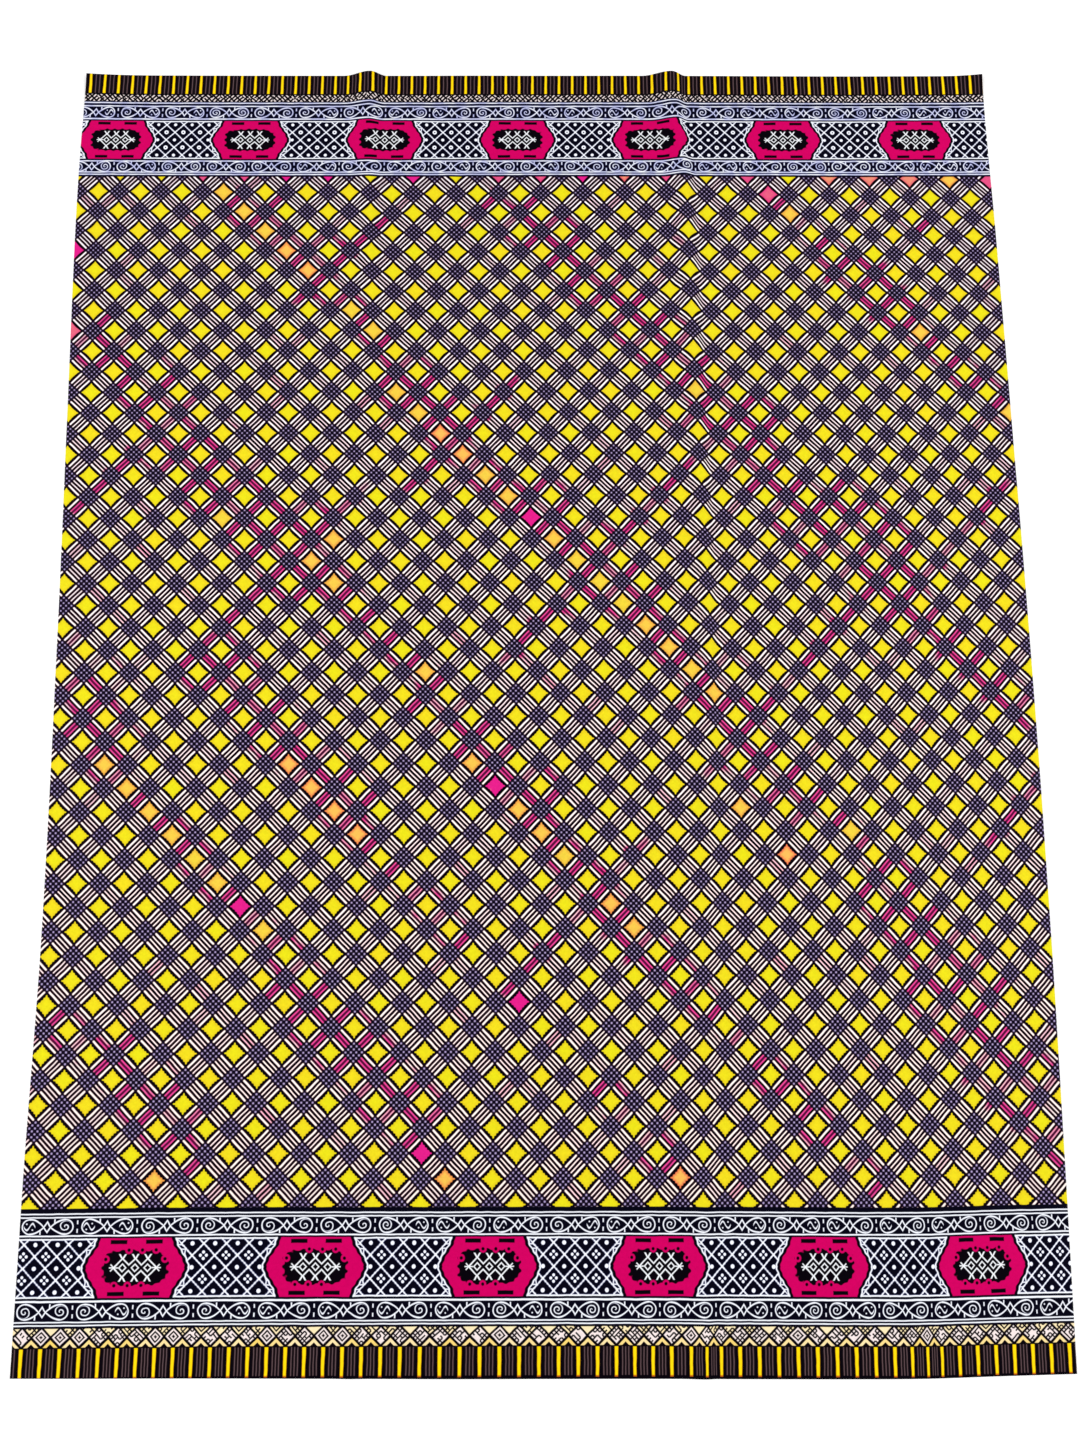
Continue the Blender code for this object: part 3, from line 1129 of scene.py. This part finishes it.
# %% Window and chain
WINDOW_POWER = 3.7  # 2 would draw an ellipse
UPPER_WINDOW = (1.46, 0.70)  # half its width and height
LOWER_WINDOW = (1.42, 0.73)
RIM_DOTS = 0.60  # spacing
RIM_DOTS_REACH = 0.72
RIM_DOT_RADIUS = 0.075
RIM_RING_RADIUS = 0.165
OUTER_DASH = (0.785, 1.09)  # its middle, across and up
OUTER_DASH_HALF = (0.37, 0.088)
LINK = 0.56  # width of one diamond of the chain
CHAIN_PEAK = 0.385
STAR_RADIUS = 0.20


def window(signed, up, x, y, flowers):
    """The dark window with the dots on its rim, and the dashes above and below it."""
    half_width, half_height = LOWER_WINDOW if flowers else UPPER_WINDOW
    sign = maths("SIGN", up)
    ragged = maths("SINE", signed * 14.0) * maths("COSINE", up * 17.0) * 0.045 + waver_x * 0.05
    wide = maths("POWER", x / half_width, WINDOW_POWER)
    tall = maths("POWER", y / half_height, WINDOW_POWER)
    rim = (maths("POWER", wide + tall, 1 / WINDOW_POWER) - 1.0) * half_height + ragged
    shifted = signed - sign * (RIM_DOTS / 2)
    to_dot = reach(from_whole(shifted / RIM_DOTS) * RIM_DOTS, y - half_height - 0.01)
    to_dot = larger(to_dot, abs(shifted) - RIM_DOTS_REACH)
    to_dot = smaller(to_dot, reach(x - half_width + 0.11, up - 0.36))
    to_dot = to_dot if flowers else to_dot + FAR
    dash_x = x - sign * maths("SIGN", signed) * 0.02 - OUTER_DASH[0]
    to_dash = abs(dash_x) - OUTER_DASH_HALF[0]
    to_dash = larger(to_dash, line_at(y, OUTER_DASH[1], OUTER_DASH_HALF[1]))
    return smaller(larger(rim, RIM_RING_RADIUS - to_dot), to_dot - RIM_DOT_RADIUS, to_dash)


def diamond_chain(x, y, signed, stroke):
    """Distance to the white lines of the chain."""
    link = smaller(larger(rounded(signed / LINK), -1.0), 1.0)
    step = abs(signed - link * LINK)  # 0 at a diamond's middle
    zigzag = on_diagonals(abs(y + step * 0.95 - CHAIN_PEAK)) - stroke
    small = abs(step + y - 0.155) * 0.75 - stroke * 0.95
    fork = larger(abs(step - (y - 0.36) * 0.62) * 0.85 - stroke * 1.2, abs(y - 0.46) - 0.11)
    star_x = abs(x - LINK - 0.385)
    star = smaller(on_diagonals(abs(star_x - y)), y) - stroke * 0.9
    star = larger(star, reach(star_x, y) - STAR_RADIUS)
    return smaller(zigzag, small, fork, star)


def medallion_band(medallions, place, sizes, flowers):
    across = medallions * LATTICE_TO_A_MEDALLION
    up = (place - sizes.medallions) * (BAND_HALF / sizes.half_height)
    up = up if flowers else -up
    y = abs(up)
    signed = (medallions - rounded(medallions)) * LATTICE_TO_A_MEDALLION
    x = abs(signed)
    stroke = sizes.stroke * LATTICE_TO_A_MEDALLION / sizes.medallion_pitch
    plate = plate_edge(x, y)
    lines = frame_and_lattice(across, up, y, plate, stroke, flowers)
    dark = window(signed, up, x, y, flowers)
    return layered(
        BORDER_NAVY,
        (LINE_BLUE, inked(lines - 0.02, CELL_SOFT)),
        (BORDER_WHITE, inked(lines, CELL_SOFT)),
        (INDIGO_BLACK, inked(plate - 0.12, CELL_SOFT)),
        (MEDALLION_PINK, inked(plate, CELL_SOFT)),
        (INDIGO_BLACK, inked(dark, CELL_SOFT)),
        (BORDER_WHITE, inked(diamond_chain(x, y, signed, stroke), CELL_SOFT)),
    )


print("links", LINK)

# %% [markdown]
# A border is put together from the selvedge inward. Every band is painted over the one before it
# from its own starting line on, which saves a mask for each band's far side.

# %% Both borders
PAIR_HALF = 0.50


def border(charted, sizes, flowers, line_white):
    """The border's colour, and a mask of where it covers the field."""
    stripes, place, medallions = charted
    stripes += waver_x * (BORDER_WAVER / sizes.stripe_pitch)
    place += waver_y * BORDER_WAVER
    medallions += waver_x * (BORDER_WAVER / sizes.medallion_pitch)
    net_colour = bold_net(stripes, place, sizes) if flowers else fine_net(stripes, place, sizes)
    inward = is_over(place, sizes.medallions)
    lines = smaller(
        scrolls(medallions, place, sizes, either(inward, sizes.inner_scroll, sizes.outer_scroll)),
        line_at(abs(place - sizes.outer_pair), sizes.outer_gap, PAIR_HALF),
        line_at(abs(place - sizes.inner_pair), sizes.inner_gap, PAIR_HALF),
        line_at(place, sizes.outer_line, sizes.outer_weight),
        line_at(place, sizes.inner_line, sizes.stroke * 1.2),
    )
    blue_edge = painted(BORDER_NAVY, LINE_BLUE, inked(lines - sizes.bleed, SOFT_MM))
    line_colour = painted(blue_edge, line_white, inked(lines, SOFT_MM))
    in_band = inked(line_at(place, sizes.medallions, sizes.half_height), SOFT_MM)
    colour = layered(
        selvedge_stripes(stripes, place, sizes),
        (INDIGO_BLACK, ramp(place, sizes.stripes_end, sizes.stripes_end + 0.4)),
        (net_colour, ramp(place, sizes.net_start - 0.3, sizes.net_start + 0.3)),
        (line_colour, ramp(place, sizes.net_end, sizes.net_end + 0.5)),
        (medallion_band(medallions, place, sizes, flowers), in_band),
    )
    return colour, inked(place - sizes.field, SOFT_MM)


upper_lines = painted(LAVENDER_WHITE, BORDER_WHITE, ramp(waver_x, -0.15, 0.15))
upper_print = border(upper_chart, UPPER_BORDER, False, upper_lines)
lower_print = border(lower_chart, LOWER_BORDER, True, BORDER_WHITE)
print_colour = painted(painted(field_colour, *upper_print), *lower_print)
print("nodes for the whole print", len(NODES))

# %% [markdown]
# Under the print is a plain weave. Its threads are finer than anything a camera sees from here,
# but they take a little light away unevenly, and close up they catch it. Real threads would take
# millions of triangles, so two crossed waves make the weave, and noise makes it uneven.

# %% Threads
THREAD_PITCH = 0.0009
THREAD_DEPTH = 0.0002
MOTTLE_SCALE = 420.0
WAVE_NODE_RATE = 20  # radians to a metre, at a scale of 1
threads_x = NODES.new("ShaderNodeTexWave")
threads_y = NODES.new("ShaderNodeTexWave")
for wave, direction in ((threads_x, "X"), (threads_y, "Y")):
    wave.bands_direction = direction
    plug(2 * math.pi / (WAVE_NODE_RATE * THREAD_PITCH), wave.inputs["Scale"])
    plug(on_cloth.outputs["Object"], wave.inputs["Vector"])
weave = Number(threads_x.outputs["Fac"]) * Number(threads_y.outputs["Fac"])
mottle = Number(cloudy(MOTTLE_SCALE, 3.0).outputs["Fac"])
bump = NODES.new("ShaderNodeBump")
plug(0.25, bump.inputs["Strength"])
plug(THREAD_DEPTH, bump.inputs["Distance"])
plug(weave + mottle, bump.inputs["Height"])

shade = NODES.new("ShaderNodeHueSaturation")
plug(print_colour, shade.inputs["Color"])
plug(maths("MULTIPLY_ADD", mottle, 0.24, 0.88), shade.inputs["Value"])

surface = NODES["Principled BSDF"]
plug(shade.outputs["Color"], surface.inputs["Base Color"])
plug(bump.outputs["Normal"], surface.inputs["Normal"])
plug(maths("MULTIPLY_ADD", mottle, 0.2, 0.55), surface.inputs["Roughness"])
plug(0.0, surface.inputs["Metallic"])
plug(0.02, surface.inputs["Specular IOR Level"])
print("nodes", len(NODES))

# %% [markdown]
# The light is a photographer's: two wide soft boxes at the sides and a pale room. Light from
# straight above would mirror off the dark ink into the lens and turn it grey.

# %% Floor, lights and room
FLOOR_DROP = 0.00005
FLOOR_HALF = 6.0
floor_mesh = bpy.data.meshes.new("floor")
floor_shape = bmesh.new()
bmesh.ops.create_grid(floor_shape, x_segments=1, y_segments=1, size=FLOOR_HALF)
floor_shape.to_mesh(floor_mesh)
floor_shape.free()
floor = add_object("floor", floor_mesh)
floor.location.z = -FLOOR_DROP
floor_paint = bpy.data.materials.new("floor_paint")
floor_paint.use_nodes = True
floor_surface = floor_paint.node_tree.nodes["Principled BSDF"]
plug((0.92, 0.92, 0.92, 1.0), floor_surface.inputs["Base Color"])
plug(0.9, floor_surface.inputs["Roughness"])
plug(0.0, floor_surface.inputs["Specular IOR Level"])
floor_mesh.materials.append(floor_paint)

BOX_SIZE = 1.6
BOX_WATTS = 62
for name, place in (("left_box", (-2.4, 0.0, 1.7)), ("right_box", (2.4, 0.1, 1.7))):
    lamp = bpy.data.lights.new(name, "AREA")
    lamp.shape = "SQUARE"
    lamp.size = BOX_SIZE
    lamp.energy = BOX_WATTS
    lamp_object = add_object(name, lamp)
    lamp_object.location = place
    lamp_object.rotation_euler = (-Vector(place)).to_track_quat("-Z", "Y").to_euler()

room = bpy.data.worlds.new("room")
room.use_nodes = True
room_light = room.node_tree.nodes["Background"]
plug((1.0, 1.0, 1.0, 1.0), room_light.inputs["Color"])
plug(0.55, room_light.inputs["Strength"])
bpy.context.scene.world = room
bpy.context.scene.view_settings.view_transform = "Standard"
print("soft boxes", BOX_WATTS, "W each")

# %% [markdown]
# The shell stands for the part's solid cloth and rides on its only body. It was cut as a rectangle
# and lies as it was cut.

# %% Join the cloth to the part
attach(cloth, "root")
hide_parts("cloth_length")
